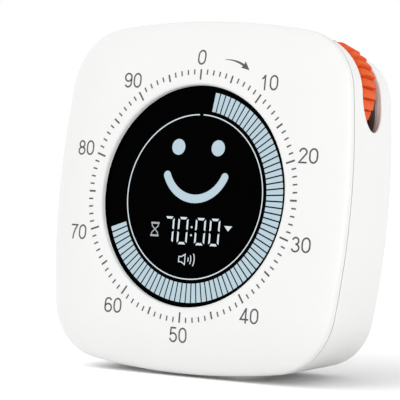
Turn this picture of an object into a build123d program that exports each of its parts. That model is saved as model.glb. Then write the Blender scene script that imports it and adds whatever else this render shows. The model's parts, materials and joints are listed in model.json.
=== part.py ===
from build123d import *
import os
from math import acos, atan2, cos, degrees, radians, sin, sqrt, tan

# Pomodoro timer with a round display and a thumbwheel in its upper right corner.
# Millimetres. The origin is the middle of the foot pad's underside, +Z is up and the face looks
# towards -Y. Sizes below are given in the face's own directions: x to the right, v up the face and
# depth straight back from the face.

# Casing
half_width = 40.0
side_bulge_radius = 182.0
corner_radius = 15.0
casing_depth = 26.85
wall = 2.0
lean = 8.0
front_depth = 4.2
seam = 0.3
rear_edge_radius = 3.0
pillow_reach = 13.0
pillow_drop = 3.2
plate_thickness = 2.0
plate_margin = 6.0
edge_depth = 3.0
lip_front = 3.2
lip_back = 7.0
lip_width = 1.1
lip_root = 0.6
shell_clearance = 0.15

# Display stack, from the face backwards
bezel_width = 14.85
window_recess = 1.5
window_rim_round = 0.7
window_seat = 1.2
window_thickness = 1.2
tape_thickness = 0.2
tape_width = 0.8
layer_gap = 0.1
lcd_thickness = 2.2
light_thickness = 2.0
light_margin_v = 3.5
light_margin_x = 2.5
frame_wall = 1.7
rib_wall = 1.2
strip_end_margin = 0.9
strip_width = 1.4
strip_margin = 1.6
led_length = 2.6
led_width = 0.8
led_height = 1.4
led_spacing = 7.0
led_margin = 1.2
board_thickness = 1.6
board_margin = 3.8

# Fasteners and the posts that take them
board_post_radius = 2.2
board_post_gap = 1.5
board_post_angles = (100, 185, 270, 350)
board_screw_radius = 0.95
board_screw_head_radius = 1.9
board_screw_head = 1.2
board_screw_reach = 3.0
case_post_radius = 3.2
case_post_inset = 12.5
case_post_gap = 1.3
case_post_wheel_gap = 2.0
case_post_meet = 10.0
case_well_radius = 2.8
case_well_wall = 1.2
case_well_floor = 4.0
case_screw_radius = 1.25
case_screw_head_radius = 2.5
case_screw_head = 1.8
case_screw_reach = 6.0
screw_hole_clearance = 0.2
pilot_clearance = 0.02
socket_radius = 0.8
socket_depth = 0.9
post_board_clearance = 0.3

# Thumbwheel and the slot it looks out of
slot_length = 28.8
slot_width = 10.4
slot_front = 9.2
slot_edge_round = 0.35
slot_cut_depth = 13.0
slot_collar_width = 1.2
slot_collar_depth = 1.0
slot_collar_step = 0.3
wheel_tip_radius = 11.4
wheel_tooth_depth = 0.75
wheel_teeth = 28
wheel_tooth_step = 0.14
wheel_width = 6.5
wheel_proud = 0.95
wheel_rim = 2.4
wheel_rim_chamfer = 0.7
wheel_front_gap = 1.3
wheel_web = 1.6
wheel_web_start = 2.9
hub_radius = 3.0
hub_back_gap = 1.0
shaft_radius = 1.5
shaft_flat = 0.4
shaft_fit = 0.05
bearing_floor = 0.8
bearing_radius = 3.4
bearing_gap = 0.6
clip_thickness = 0.35
clip_groove = 0.35
clip_radius = 2.6
clip_mouth = 1.9
clip_gap = 0.05
encoder_size = 10.0
encoder_corner = 0.8
encoder_height = 3.5
encoder_neck_radius = 3.0
encoder_neck = 0.4
encoder_floor = 0.5

# Parts on the rear of the main board
chip_size = 7.0
chip_height = 0.9
chip_gap_x = 5.1
chip_gap_v = 4.1
chip_pin_length = 1.0
chip_pin_width = 0.45
chip_pin_pitch = 0.8
chip_pin_count = 7
chip_pin_height = 0.3
buzzer_radius = 6.0
buzzer_height = 7.0
buzzer_edge_chamfer = 0.5
buzzer_port_radius = 1.0
buzzer_port_depth = 1.5
buzzer_post_x = 11.5
buzzer_post_v = 9.5
battery_side_gap = 4.5
battery_end_gap = 0.6
battery_back_gap = 3.0
battery_corner = 1.6
battery_edge_chamfer = 0.8
battery_tape_thickness = 0.3
battery_tape_margin = 4.0
lead_radius = 0.6
lead_spacing = 2.0
lead_height = 1.6
connector_width = 6.0
connector_length = 3.2
connector_height = 3.4
connector_gap = 7.2
connector_buzzer_x = 1.0
connector_buzzer_gap = 0.6
usb_width = 8.94
usb_height = 3.2
usb_length = 7.3
usb_wall = 0.3
usb_tongue_width = 6.7
usb_tongue_thickness = 0.7
usb_tongue_length = 5.2
usb_back = 0.8
usb_v = -10.0
usb_sink = 0.45
usb_clearance = 0.2
usb_opening_depth = 7.0

# Switch board on the rear wall, with the volume slider and the mode button
switch_board_width = 48.0
switch_board_height = 10.0
switch_board_thickness = 1.2
switch_board_gap = 5.3
switch_board_well_gap = 4.5
switch_post_radius = 2.2
switch_post_margin = 2.8
switch_screw_radius = 0.95
switch_screw_head_radius = 1.8
switch_screw_head = 1.2
switch_screw_reach = 3.5
control_post_gap = 0.5
slider_travel = 2.0
slider_knob_length = 4.0
slider_knob_height = 3.0
slider_knob_proud = 0.9
slider_rib_width = 0.5
slider_rib_depth = 0.3
slider_rib_pitch = 1.0
slider_rib_count = 3
slider_plate = 0.9
slider_plate_margin = 1.0
slider_socket = 0.9
slider_socket_wall = 0.8
control_clearance = 0.25
control_gap = 0.2
slide_switch_length = 9.0
slide_switch_width = 4.4
slide_switch_height = 1.8
nub_size = 1.5
nub_depth = 1.0
nub_clearance = 0.25
nub_fit = 0.05
button_radius = 3.2
button_proud = 0.5
button_travel = 0.5
button_edge_chamfer = 0.4
button_flange = 1.2
button_flange_thickness = 0.9
button_stem_radius = 1.1
tact_size = 6.0
tact_height = 2.0
tact_bore_depth = 1.2
plunger_radius = 1.0
plunger_clearance = 0.3
plunger_proud = 0.5
plunger_end_gap = 0.2
ribbon_width = 8.0
ribbon_thickness = 0.3
ribbon_bend = 3.0
ribbon_gap = 0.1
ribbon_clear = 4.0
ribbon_land = 4.0

# Sound holes and foot pad
sound_hole_radius = 0.7
sound_ring_radius = 3.0
sound_ring_count = 6
pad_width = 30.0
pad_length = 16.5
pad_corner = 4.0
pad_thickness = 1.3
pad_proud = 0.5
pad_depth = 14.6
pad_clearance = 0.15
pad_edge_chamfer = 0.3

# Places along the depth
rear_front = front_depth + seam
rear_inner = casing_depth - wall
window_front = window_recess + tape_thickness
window_back = window_front + window_thickness
lcd_front = window_back + layer_gap
lcd_back = lcd_front + lcd_thickness
light_front = lcd_back + layer_gap
light_back = light_front + light_thickness
board_front = light_back + 2 * layer_gap
board_back = board_front + board_thickness
well_floor = case_post_meet + case_well_floor
slot_middle = slot_front + slot_width / 2
wheel_front = slot_front + wheel_front_gap
wheel_back = wheel_front + wheel_width
web_front = wheel_front + wheel_web_start
web_back = web_front + wheel_web
hub_back = wheel_back + hub_back_gap
clip_front = hub_back + clip_gap
clip_back = clip_front + clip_thickness
bearing_front = hub_back + bearing_gap
shaft_front = board_back + encoder_floor
shaft_back = rear_inner - bearing_floor
encoder_back = board_back + encoder_height
switch_back = rear_inner - switch_board_gap
switch_front = switch_back - switch_board_thickness
slide_switch_back = switch_back + slide_switch_height
tact_back = switch_back + tact_height
battery_front = board_back + battery_tape_thickness
battery_back = switch_front - battery_back_gap

# Radii and places across the face
window_radius = half_width - bezel_width
window_edge = window_radius + window_seat
lcd_radius = window_edge - 3 * layer_gap
frame_bore = window_edge - 2 * layer_gap
frame_radius = frame_bore + frame_wall
strip_middle = lcd_radius - strip_margin - strip_width / 2
strip_length = 2 * (sqrt(lcd_radius**2 - (strip_middle + strip_width / 2) ** 2) - strip_end_margin)
taper = tan(radians(lean))
side_centre = side_bulge_radius - half_width
side_to_corner = side_bulge_radius - corner_radius
corner_centre = (sqrt(2 * side_to_corner**2 - side_centre**2) - side_centre) / 2
side_half_angle = degrees(atan2(corner_centre, corner_centre + side_centre))
corner_reach = corner_centre * sqrt(2) + corner_radius
slot_reach = corner_reach - (slot_middle - rear_front) * taper
slot_bottom = slot_reach - slot_cut_depth
wheel_spot = (slot_reach + wheel_proud - wheel_tip_radius) / sqrt(2)
board_post_ring = frame_radius + board_post_gap + board_post_radius
case_post_ring = frame_radius + case_post_gap + case_post_radius
case_well_outer = case_well_radius + case_well_wall
case_post_corner = half_width - case_post_inset
wheel_reach = wheel_spot * sqrt(2)
wheel_clear = wheel_tip_radius + case_post_wheel_gap + case_well_outer
case_post_swing = acos((case_post_ring**2 + wheel_reach**2 - wheel_clear**2) / (2 * case_post_ring * wheel_reach))
case_post_angle = radians(45) + case_post_swing
case_posts = (
    (case_post_corner, -case_post_corner),
    (-case_post_corner, -case_post_corner),
    (-case_post_corner, case_post_corner),
    (case_post_ring * cos(case_post_angle), case_post_ring * sin(case_post_angle)),
)
board_posts = [
    (board_post_ring * cos(radians(angle)), board_post_ring * sin(radians(angle)))
    for angle in board_post_angles
]
switch_board_v = switch_board_height / 2 - (case_post_corner - case_well_outer - switch_board_well_gap)
switch_post_x = switch_board_width / 2 - switch_post_margin
switch_posts = ((-switch_post_x, switch_board_v), (switch_post_x, switch_board_v))
control_side = switch_post_x - switch_post_radius - control_post_gap
slider_plate_length = slider_knob_length + 4 * slider_travel + 2 * (control_clearance + slider_plate_margin)
slider_x = slider_plate_length / 2 + slider_travel - control_side
button_x = control_side - button_radius - button_flange
buzzer_x = buzzer_post_x - case_post_corner
buzzer_v = case_post_corner - buzzer_post_v
connector_x = buzzer_x + connector_buzzer_x
connector_v = buzzer_v - buzzer_radius - connector_buzzer_gap - connector_length / 2
battery_top = connector_v - connector_length / 2 - connector_gap
battery_bottom = board_screw_head_radius + battery_end_gap - board_post_ring
battery_length = battery_top - battery_bottom
battery_v = (battery_top + battery_bottom) / 2
battery_width = 2 * (case_post_corner - case_well_outer - battery_side_gap)
battery_thickness = battery_back - battery_front
chip_x = wheel_spot - encoder_size / 2 - chip_gap_x - chip_size / 2
chip_v = wheel_spot - encoder_size / 2 - chip_gap_v - chip_size / 2
usb_middle = board_back + usb_height / 2
usb_side = half_width - (usb_middle - rear_front) * taper
usb_bulge = side_bulge_radius - sqrt(side_bulge_radius**2 - usb_v**2)
usb_mouth = -(usb_side - usb_bulge - usb_sink)
pad_back_shift = pad_depth * cos(radians(lean)) - half_width * sin(radians(lean))
face_height = half_width * cos(radians(lean)) + rear_front * sin(radians(lean)) + pad_proud

FACE = Plane(
    origin=(0, -pad_back_shift, face_height),
    x_dir=(1, 0, 0),
    z_dir=(0, -cos(radians(lean)), sin(radians(lean))),
)
FORWARD = Axis(FACE.origin, FACE.z_dir)


def layer(depth, x=0.0, v=0.0):
    """A plane parallel to the face at a depth behind it, centred on a point of the face."""
    return Plane(FACE.location * Location((x, v, -depth)))


def casing_arcs():
    """Centre, radius, first angle and sweep of each arc of the casing's rounded square with bulging sides."""
    for turn in range(0, 360, 90):
        side = Vector(-side_centre, 0).rotate(Axis.Z, turn)
        corner = Vector(corner_centre, corner_centre).rotate(Axis.Z, turn)
        yield side, side_bulge_radius, turn - side_half_angle, 2 * side_half_angle
        yield corner, corner_radius, turn + side_half_angle, 90 - 2 * side_half_angle


def casing_section(depth, inset):
    """The casing's outline, drawn inset at a depth."""
    with BuildSketch(layer(depth)) as section:
        with BuildLine():
            for centre, radius, start, turn in casing_arcs():
                CenterArc(centre, radius - inset, start, turn)
        make_face()
    return section.sketch


# Front shell: crowned plate with a round window and posts behind it
with BuildPart() as front_shell:
    extrude(casing_section(front_depth, 0), amount=front_depth - pillow_drop)
    extrude(casing_section(pillow_drop, pillow_reach), amount=pillow_drop)
    for centre, radius, start, turn in casing_arcs():
        pivot = layer(pillow_drop, centre.X, centre.Y)
        with BuildSketch(Plane(pivot.location * Rotation(0, 0, start) * Rotation(90, 0, 0))):
            with BuildLine():
                crest = EllipticalCenterArc((radius - pillow_reach, 0), pillow_reach, pillow_drop, 0, arc_size=90)
                Polyline(crest @ 1, (radius - pillow_reach, 0), crest @ 0)
            make_face()
        revolve(axis=Axis(pivot.origin, FACE.z_dir), revolution_arc=turn)
    with BuildSketch(FACE):
        Circle(window_radius)
    extrude(amount=-front_depth, mode=Mode.SUBTRACT)
    fillet(front_shell.edges(Select.LAST).sort_by(FORWARD)[-1], window_rim_round)
    extrude(casing_section(front_depth, plate_margin), amount=front_depth - plate_thickness,
            mode=Mode.SUBTRACT)
    extrude(casing_section(front_depth, wall), amount=front_depth - edge_depth, mode=Mode.SUBTRACT)
    with BuildSketch(layer(lcd_front)):
        Circle(window_edge + layer_gap + rib_wall)
        Circle(window_edge + layer_gap, mode=Mode.SUBTRACT)
    extrude(amount=lcd_front - window_recess)
    with BuildSketch(layer(lcd_front)):
        Circle(window_edge + layer_gap)
    extrude(amount=lcd_front - window_recess, mode=Mode.SUBTRACT)
    with BuildSketch(layer(board_front)):
        with Locations(*board_posts):
            Circle(board_post_radius)
    extrude(amount=board_front - plate_thickness)
    with BuildSketch(layer(case_post_meet)):
        with Locations(*case_posts):
            Circle(case_post_radius)
    extrude(amount=case_post_meet - plate_thickness)
    with BuildSketch(layer(board_front)):
        with Locations(*board_posts):
            Circle(board_screw_radius + pilot_clearance)
    extrude(amount=board_screw_reach, mode=Mode.SUBTRACT)
    with BuildSketch(layer(case_post_meet)):
        with Locations(*case_posts):
            Circle(case_screw_radius + pilot_clearance)
    extrude(amount=case_screw_reach, mode=Mode.SUBTRACT)

# Rear shell: tapered tub with a lip, screw wells, wheel bearing, slot and openings
with BuildPart() as tub_hollow:
    extrude(casing_section(rear_front, wall), amount=-(rear_inner - rear_front), taper=lean)
    fillet(tub_hollow.faces().sort_by(FORWARD)[0].edges(), rear_edge_radius - wall)

slot_floor = layer(slot_middle, slot_bottom / sqrt(2), slot_bottom / sqrt(2)).origin
slot_plane = Plane(slot_floor, x_dir=FACE.y_dir - FACE.x_dir, z_dir=FACE.x_dir + FACE.y_dir)
with BuildPart() as slot_collar:
    extrude(casing_section(rear_front, wall - slot_collar_step), amount=-(rear_inner - rear_front), taper=lean)
    extrude(casing_section(rear_front, wall + slot_collar_depth), amount=-(rear_inner - rear_front), taper=lean,
            mode=Mode.SUBTRACT)
    with BuildSketch(slot_plane):
        SlotOverall(slot_length + 2 * slot_collar_width, slot_width + 2 * slot_collar_width)
        SlotOverall(slot_length - 2 * slot_collar_step, slot_width - 2 * slot_collar_step, mode=Mode.SUBTRACT)
    extrude(amount=slot_reach, mode=Mode.INTERSECT)

with BuildPart() as rear_shell:
    extrude(casing_section(rear_front, 0), amount=-(casing_depth - rear_front), taper=lean)
    fillet(rear_shell.faces().sort_by(FORWARD)[0].edges(), rear_edge_radius)
    with BuildSketch(slot_plane):
        SlotOverall(slot_length, slot_width)
    extrude(amount=slot_reach, mode=Mode.SUBTRACT)
    slot_rim = rear_shell.edges(Select.LAST).filter_by(Axis(slot_floor, slot_plane.z_dir), reverse=True)
    fillet(slot_rim.filter_by(lambda edge: slot_plane.to_local_coords(edge.center()).Z > slot_edge_round),
           slot_edge_round)
    add(tub_hollow.part, mode=Mode.SUBTRACT)
    add(slot_collar.part)
    extrude(casing_section(lip_back, wall - lip_root), amount=lip_back - rear_front)
    extrude(casing_section(lip_back, wall + shell_clearance), amount=lip_back - lip_front)
    extrude(casing_section(lip_back, wall + shell_clearance + lip_width), amount=lip_back - lip_front,
            mode=Mode.SUBTRACT)
    with BuildSketch(layer(rear_inner)):
        with Locations(*case_posts):
            Circle(case_well_outer)
    extrude(amount=rear_inner - case_post_meet)
    with BuildSketch(layer(casing_depth)):
        with Locations(*case_posts):
            Circle(case_well_radius)
    extrude(amount=casing_depth - well_floor, mode=Mode.SUBTRACT)
    with BuildSketch(layer(well_floor)):
        with Locations(*case_posts):
            Circle(case_screw_radius + screw_hole_clearance)
    extrude(amount=case_well_floor, mode=Mode.SUBTRACT)
    with BuildSketch(layer(rear_inner, wheel_spot, wheel_spot)):
        Circle(bearing_radius)
    extrude(amount=rear_inner - bearing_front)
    with BuildSketch(layer(shaft_back, wheel_spot, wheel_spot)):
        Circle(shaft_radius + shaft_fit)
    extrude(amount=shaft_back - bearing_front, mode=Mode.SUBTRACT)
    with BuildSketch(layer(rear_inner)):
        with Locations(*switch_posts):
            Circle(switch_post_radius)
    extrude(amount=switch_board_gap)
    with BuildSketch(layer(switch_back)):
        with Locations(*switch_posts):
            Circle(switch_screw_radius + pilot_clearance)
    extrude(amount=-switch_screw_reach, mode=Mode.SUBTRACT)
    with BuildSketch(layer(casing_depth)):
        with Locations((slider_x, switch_board_v)):
            SlotOverall(
                slider_knob_length + 2 * (slider_travel + control_clearance),
                slider_knob_height + 2 * control_clearance,
            )
        with Locations((button_x, switch_board_v)):
            Circle(button_radius + control_clearance)
        with Locations((buzzer_x, buzzer_v)):
            Circle(sound_hole_radius)
            with PolarLocations(sound_ring_radius, sound_ring_count):
                Circle(sound_hole_radius)
    extrude(amount=wall, mode=Mode.SUBTRACT)
    usb_plane = Plane(layer(usb_middle, -half_width, usb_v).origin, x_dir=FACE.y_dir, z_dir=FACE.x_dir)
    with BuildSketch(usb_plane):
        SlotOverall(usb_width + 2 * usb_clearance, usb_height + 2 * usb_clearance)
    extrude(amount=usb_opening_depth, mode=Mode.SUBTRACT)
    with BuildSketch(Plane.XY):
        RectangleRounded(
            pad_width + 2 * pad_clearance, pad_length + 2 * pad_clearance, pad_corner + pad_clearance
        )
    extrude(amount=pad_thickness, mode=Mode.SUBTRACT)

# Foot pad: rubber block let into the underside
with BuildPart() as foot_pad:
    with BuildSketch(Plane.XY):
        RectangleRounded(pad_width, pad_length, pad_corner)
    extrude(amount=pad_thickness)
    chamfer(foot_pad.faces().sort_by(Axis.Z)[0].edges(), pad_edge_chamfer)

# Display stack
with BuildPart() as window_tape:
    with BuildSketch(layer(window_front)):
        Circle(window_edge)
        Circle(window_edge - tape_width, mode=Mode.SUBTRACT)
    extrude(amount=tape_thickness)

with BuildPart() as display_window:
    with BuildSketch(layer(window_back)):
        Circle(window_edge)
    extrude(amount=window_thickness)

with BuildPart() as lcd_panel:
    with BuildSketch(layer(lcd_back)):
        Circle(lcd_radius)
    extrude(amount=lcd_thickness)

with BuildPart() as lcd_frame:
    with BuildSketch(layer(board_front)):
        Circle(frame_radius)
        Circle(frame_bore, mode=Mode.SUBTRACT)
    extrude(amount=board_front - lcd_front)

with BuildPart() as backlight_panel:
    with BuildSketch(layer(light_back)):
        Circle(lcd_radius)
        Rectangle(
            2 * (lcd_radius - light_margin_x), 2 * (lcd_radius - light_margin_v), mode=Mode.INTERSECT
        )
    extrude(amount=light_thickness)

with BuildPart() as contact_strips:
    with BuildSketch(layer(board_front)):
        with GridLocations(0, 2 * strip_middle, 1, 2):
            Rectangle(strip_length, strip_width)
    extrude(amount=board_front - lcd_back)

with BuildPart() as backlight_leds:
    with BuildSketch(layer(board_front)):
        with GridLocations(2 * (lcd_radius - led_margin - led_width / 2), led_spacing, 2, 2):
            Rectangle(led_width, led_length)
    extrude(amount=led_height)

# Main board with its screws
with BuildPart() as main_board:
    extrude(casing_section(board_back, board_margin), amount=board_thickness)
    with BuildSketch(layer(board_back)):
        with Locations(*board_posts):
            Circle(board_screw_radius + screw_hole_clearance)
        with Locations(*case_posts):
            Circle(case_post_radius + post_board_clearance)
    extrude(amount=board_thickness, mode=Mode.SUBTRACT)


def pan_screws(depth, spots, radius, head_radius, head, reach, towards_face=True):
    """Pan head screws on a surface at a depth, with a hexagon socket in each head."""
    turn = 1 if towards_face else -1
    with BuildPart() as screws:
        with BuildSketch(layer(depth)):
            with Locations(*spots):
                Circle(radius)
        extrude(amount=turn * reach)
        with BuildSketch(layer(depth)):
            with Locations(*spots):
                Circle(head_radius)
        extrude(amount=-turn * head)
        with BuildSketch(layer(depth + turn * head)):
            with Locations(*spots):
                RegularPolygon(socket_radius, 6)
        extrude(amount=turn * socket_depth, mode=Mode.SUBTRACT)
    return screws


board_screws = pan_screws(
    board_back, board_posts, board_screw_radius, board_screw_head_radius, board_screw_head,
    board_thickness + board_screw_reach,
)
case_screws = pan_screws(
    well_floor, case_posts, case_screw_radius, case_screw_head_radius, case_screw_head,
    case_well_floor + case_screw_reach,
)
switch_board_screws = pan_screws(
    switch_front, switch_posts, switch_screw_radius, switch_screw_head_radius, switch_screw_head,
    switch_board_thickness + switch_screw_reach, towards_face=False,
)

# Parts soldered to the rear of the main board
with BuildPart() as controller_chip:
    with BuildSketch(layer(board_back + chip_height, chip_x, chip_v)):
        Rectangle(chip_size, chip_size)
    extrude(amount=chip_height)
    with BuildSketch(layer(board_back + chip_pin_height, chip_x, chip_v)):
        with GridLocations(chip_pin_pitch, chip_size, chip_pin_count, 2):
            Rectangle(chip_pin_width, 2 * chip_pin_length)
    extrude(amount=chip_pin_height)

with BuildPart() as encoder_body:
    with BuildSketch(layer(encoder_back, wheel_spot, wheel_spot)):
        RectangleRounded(encoder_size, encoder_size, encoder_corner)
    extrude(amount=encoder_height)
    with BuildSketch(layer(encoder_back + encoder_neck, wheel_spot, wheel_spot)):
        Circle(encoder_neck_radius)
    extrude(amount=encoder_neck)
    with BuildSketch(layer(encoder_back + encoder_neck, wheel_spot, wheel_spot)):
        Circle(shaft_radius + shaft_fit)
    extrude(amount=encoder_neck + encoder_height - encoder_floor, mode=Mode.SUBTRACT)

with BuildPart() as buzzer:
    with BuildSketch(layer(board_back + buzzer_height, buzzer_x, buzzer_v)):
        Circle(buzzer_radius)
    extrude(amount=buzzer_height)
    chamfer(buzzer.edges().sort_by(FORWARD)[0], buzzer_edge_chamfer)
    with BuildSketch(layer(board_back + buzzer_height, buzzer_x, buzzer_v)):
        Circle(buzzer_port_radius)
    extrude(amount=buzzer_port_depth, mode=Mode.SUBTRACT)

with BuildPart() as battery_tape:
    with BuildSketch(layer(battery_front, 0, battery_v)):
        Rectangle(battery_width - 2 * battery_tape_margin, battery_length - 2 * battery_tape_margin)
    extrude(amount=battery_tape_thickness)

with BuildPart() as battery_cell:
    with BuildSketch(layer(battery_back, 0, battery_v)):
        RectangleRounded(battery_width, battery_length, battery_corner)
    extrude(amount=battery_thickness)
    chamfer(battery_cell.faces().sort_by(FORWARD)[0].edges(), battery_edge_chamfer)

with BuildPart() as battery_connector:
    with BuildSketch(layer(board_back + connector_height, connector_x, connector_v)):
        Rectangle(connector_width, connector_length)
    extrude(amount=connector_height)

with BuildPart() as battery_leads:
    lead_start = layer(board_back + lead_height, connector_x, battery_top).origin
    with BuildSketch(Plane(lead_start, x_dir=FACE.x_dir, z_dir=FACE.y_dir)):
        with GridLocations(lead_spacing, 0, 2, 1):
            Circle(lead_radius)
    extrude(amount=connector_gap)

# Charging socket, which passes through the left wall
socket_plane = Plane(layer(usb_middle, usb_mouth, usb_v).origin, x_dir=FACE.y_dir, z_dir=FACE.x_dir)
with BuildPart() as usb_shell:
    with BuildSketch(socket_plane):
        SlotOverall(usb_width, usb_height)
    extrude(amount=usb_length)
    with BuildSketch(socket_plane):
        SlotOverall(usb_width - 2 * usb_wall, usb_height - 2 * usb_wall)
    extrude(amount=usb_length - usb_back, mode=Mode.SUBTRACT)

with BuildPart() as usb_tongue:
    with BuildSketch(socket_plane.offset(usb_length - usb_back)):
        Rectangle(usb_tongue_width, usb_tongue_thickness)
    extrude(amount=-usb_tongue_length)

# Thumbwheel with ratchet-shaped grip, its shaft and the clip that holds it
def wheel_point(radius, angle):
    """A point on the wheel's outline."""
    return (radius * cos(radians(angle)), radius * sin(radians(angle)))


wheel_axis = Axis(layer(0, wheel_spot, wheel_spot).origin, FACE.z_dir)
wheel_pitch = 360 / wheel_teeth


def ratchet_section(depth):
    """The wheel's ratchet outline at a depth, which shrinks backwards as the casing's taper does."""
    tip = wheel_tip_radius - (depth - slot_middle) * taper
    with BuildSketch(layer(depth, wheel_spot, wheel_spot)) as section:
        with BuildLine():
            outline = []
            for tooth in range(wheel_teeth):
                outline.append(wheel_point(tip - wheel_tooth_depth, tooth * wheel_pitch))
                outline.append(wheel_point(tip, (tooth + wheel_tooth_step) * wheel_pitch))
            Polyline(*outline, close=True)
        make_face()
    return section.sketch


front_tip = wheel_tip_radius + (slot_middle - wheel_front) * taper
back_tip = wheel_tip_radius - (wheel_back - slot_middle) * taper
with BuildPart() as thumbwheel:
    loft([ratchet_section(wheel_back), ratchet_section(wheel_front)], ruled=True)
    rim_plane = Plane(layer(wheel_back, wheel_spot, wheel_spot).origin, x_dir=FACE.x_dir, z_dir=-FACE.y_dir)
    with BuildSketch(rim_plane) as barrel:
        with BuildLine():
            Polyline((0, 0), (back_tip, 0), (front_tip, wheel_width), (0, wheel_width), close=True)
        make_face()
        chamfer(barrel.vertices().filter_by(lambda corner: corner.X > hub_radius), wheel_rim_chamfer)
    revolve(axis=wheel_axis, mode=Mode.INTERSECT)
    cup_radius = wheel_tip_radius - wheel_tooth_depth - wheel_rim
    with BuildSketch(layer(web_front, wheel_spot, wheel_spot)):
        Circle(cup_radius)
    extrude(amount=web_front - wheel_front, mode=Mode.SUBTRACT)
    with BuildSketch(layer(wheel_back, wheel_spot, wheel_spot)):
        Circle(cup_radius)
    extrude(amount=wheel_back - web_back, mode=Mode.SUBTRACT)
    with BuildSketch(layer(hub_back, wheel_spot, wheel_spot)):
        Circle(hub_radius)
    extrude(amount=hub_back - web_back)
    with BuildSketch(layer(hub_back, wheel_spot, wheel_spot)):
        Circle(shaft_radius + pilot_clearance)
        with Locations((shaft_radius - shaft_flat + pilot_clearance, 0)):
            Rectangle(shaft_radius, 3 * shaft_radius, align=(Align.MIN, Align.CENTER), mode=Mode.SUBTRACT)
    extrude(amount=hub_back - web_front, mode=Mode.SUBTRACT)

with BuildPart() as encoder_shaft:
    with BuildSketch(layer(shaft_back - layer_gap, wheel_spot, wheel_spot)):
        Circle(shaft_radius)
    extrude(amount=shaft_back - layer_gap - shaft_front - layer_gap)
    with BuildSketch(layer(hub_back, wheel_spot, wheel_spot)):
        with Locations((shaft_radius - shaft_flat, 0)):
            Rectangle(shaft_radius, 3 * shaft_radius, align=(Align.MIN, Align.CENTER))
    extrude(amount=hub_back - web_front, mode=Mode.SUBTRACT)
    with BuildSketch(layer(clip_back + clip_gap, wheel_spot, wheel_spot)):
        Circle(2 * shaft_radius)
        Circle(shaft_radius - clip_groove, mode=Mode.SUBTRACT)
    extrude(amount=clip_thickness + 2 * clip_gap, mode=Mode.SUBTRACT)

with BuildPart() as retaining_ring:
    with BuildSketch(layer(clip_back, wheel_spot, wheel_spot)):
        Circle(clip_radius)
        Circle(shaft_radius - clip_groove + clip_gap, mode=Mode.SUBTRACT)
        Rectangle(clip_mouth, clip_radius, align=(Align.CENTER, Align.MAX), mode=Mode.SUBTRACT)
    extrude(amount=clip_thickness)

# Switch board with the fixed halves of its two controls
with BuildPart() as switch_board:
    with BuildSketch(layer(switch_back, 0, switch_board_v)):
        Rectangle(switch_board_width, switch_board_height)
        with Locations((-switch_post_x, 0), (switch_post_x, 0)):
            Circle(switch_screw_radius + screw_hole_clearance, mode=Mode.SUBTRACT)
    extrude(amount=switch_board_thickness)

with BuildPart() as slide_switch:
    with BuildSketch(layer(slide_switch_back, slider_x, switch_board_v)):
        Rectangle(slide_switch_length, slide_switch_width)
    extrude(amount=slide_switch_height)
    with BuildSketch(layer(slide_switch_back, slider_x, switch_board_v)):
        Rectangle(nub_size + 2 * (slider_travel + nub_clearance), nub_size + 2 * nub_clearance)
    extrude(amount=nub_depth + nub_clearance, mode=Mode.SUBTRACT)

with BuildPart() as tact_switch:
    with BuildSketch(layer(tact_back, button_x, switch_board_v)):
        Rectangle(tact_size, tact_size)
    extrude(amount=tact_height)
    with BuildSketch(layer(tact_back, button_x, switch_board_v)):
        Circle(plunger_radius + plunger_clearance)
    extrude(amount=tact_bore_depth, mode=Mode.SUBTRACT)

# Volume slider: knob through the rear wall on a plate that rides behind it
slider_plate_back = rear_inner - control_gap
slider_plate_front = slider_plate_back - slider_plate
slider_plate_height = slider_knob_height + 2 * (control_clearance + slider_plate_margin)
nub_back = slider_plate_front
with BuildPart() as volume_slider:
    with BuildSketch(layer(slider_plate_back, slider_x, switch_board_v)):
        Rectangle(slider_plate_length, slider_plate_height)
    extrude(amount=slider_plate)
    with BuildSketch(layer(casing_depth + slider_knob_proud, slider_x, switch_board_v)):
        SlotOverall(slider_knob_length, slider_knob_height)
    extrude(amount=casing_depth + slider_knob_proud - slider_plate_back)
    with BuildSketch(layer(casing_depth + slider_knob_proud, slider_x, switch_board_v)):
        with GridLocations(slider_rib_pitch, 0, slider_rib_count, 1):
            Rectangle(slider_rib_width, 2 * slider_knob_height)
    extrude(amount=slider_rib_depth, mode=Mode.SUBTRACT)
    socket_size = nub_size + 2 * (nub_fit + slider_socket_wall)
    with BuildSketch(layer(slider_plate_front, slider_x, switch_board_v)):
        Rectangle(socket_size, socket_size)
        Rectangle(nub_size + 2 * nub_fit, nub_size + 2 * nub_fit, mode=Mode.SUBTRACT)
    extrude(amount=slider_socket)

with BuildPart() as switch_nub:
    with BuildSketch(layer(nub_back, slider_x, switch_board_v)):
        Rectangle(nub_size, nub_size)
    extrude(amount=nub_back - (slide_switch_back - nub_depth))

# Mode button: cap through the rear wall, with a flange that keeps it in
flange_back = rear_inner - control_gap
flange_front = flange_back - button_flange_thickness
plunger_back = tact_back + plunger_proud
with BuildPart() as mode_button:
    with BuildSketch(layer(casing_depth + button_proud, button_x, switch_board_v)):
        Circle(button_radius)
    extrude(amount=casing_depth + button_proud - flange_front)
    chamfer(mode_button.edges().sort_by(FORWARD)[0], button_edge_chamfer)
    with BuildSketch(layer(flange_back, button_x, switch_board_v)):
        Circle(button_radius + button_flange)
    extrude(amount=button_flange_thickness)
    with BuildSketch(layer(flange_front, button_x, switch_board_v)):
        Circle(button_stem_radius)
    extrude(amount=flange_front - plunger_back)

with BuildPart() as tact_plunger:
    with BuildSketch(layer(plunger_back, button_x, switch_board_v)):
        Circle(plunger_radius)
    extrude(amount=plunger_proud + tact_bore_depth - button_travel - plunger_end_gap)

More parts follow.
